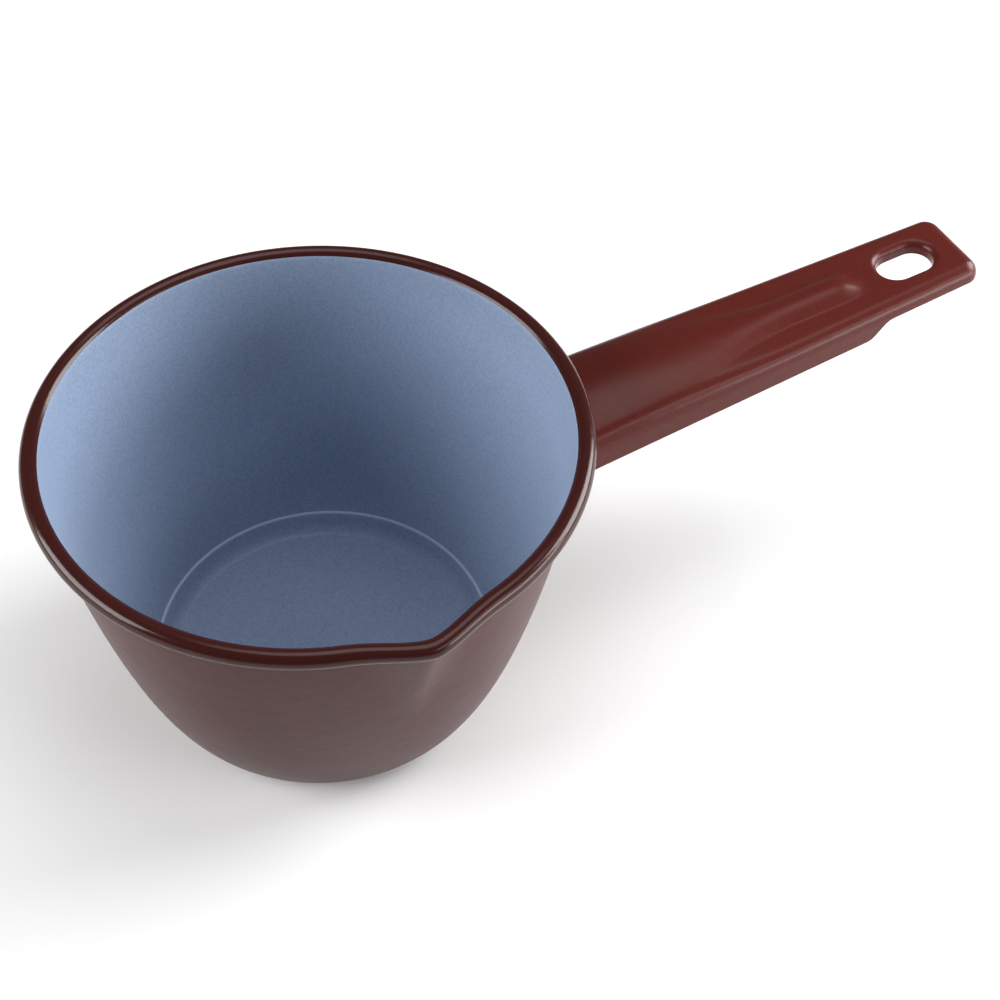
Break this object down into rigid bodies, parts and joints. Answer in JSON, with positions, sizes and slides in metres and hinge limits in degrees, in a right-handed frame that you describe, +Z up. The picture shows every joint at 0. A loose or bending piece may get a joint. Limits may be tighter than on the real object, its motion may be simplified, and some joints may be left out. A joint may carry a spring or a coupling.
{
  "type": "candle melting pot",
  "caption": "Small enamelled steel pot with a flared round bowl, a curled rim, one pouring spout and a long flat-ended handle with a hang slot.",
  "frame": {"origin": "on the bowl's axis at the underside of the base", "axes": "+Z up along the bowl's axis, +X along the handle away from the bowl, -Y towards the spout"},
  "size_m": [0.2843, 0.154, 0.095],
  "materials": {
    "steel": "deep-drawn low-carbon steel sheet, covered by enamel",
    "weld_steel": "weld metal, dark from the enamel firing",
    "blue_enamel": "satin grey-blue enamel with a fine speckled grain",
    "maroon_enamel": "satin dark maroon enamel, a little glossier on the rim",
    "handle_enamel": "satin dark maroon enamel"
  },
  "bodies": {
    "root": {"bowl_shell": "steel", "bowl_lining": "blue_enamel", "bowl_outer_enamel": "maroon_enamel", "rim_enamel": "maroon_enamel", "handle_pressing": "steel", "handle_enamel": "handle_enamel", "weld_left": "weld_steel", "weld_right": "weld_steel", "weld_crown": "weld_steel"}
  },
  "joints": []
}
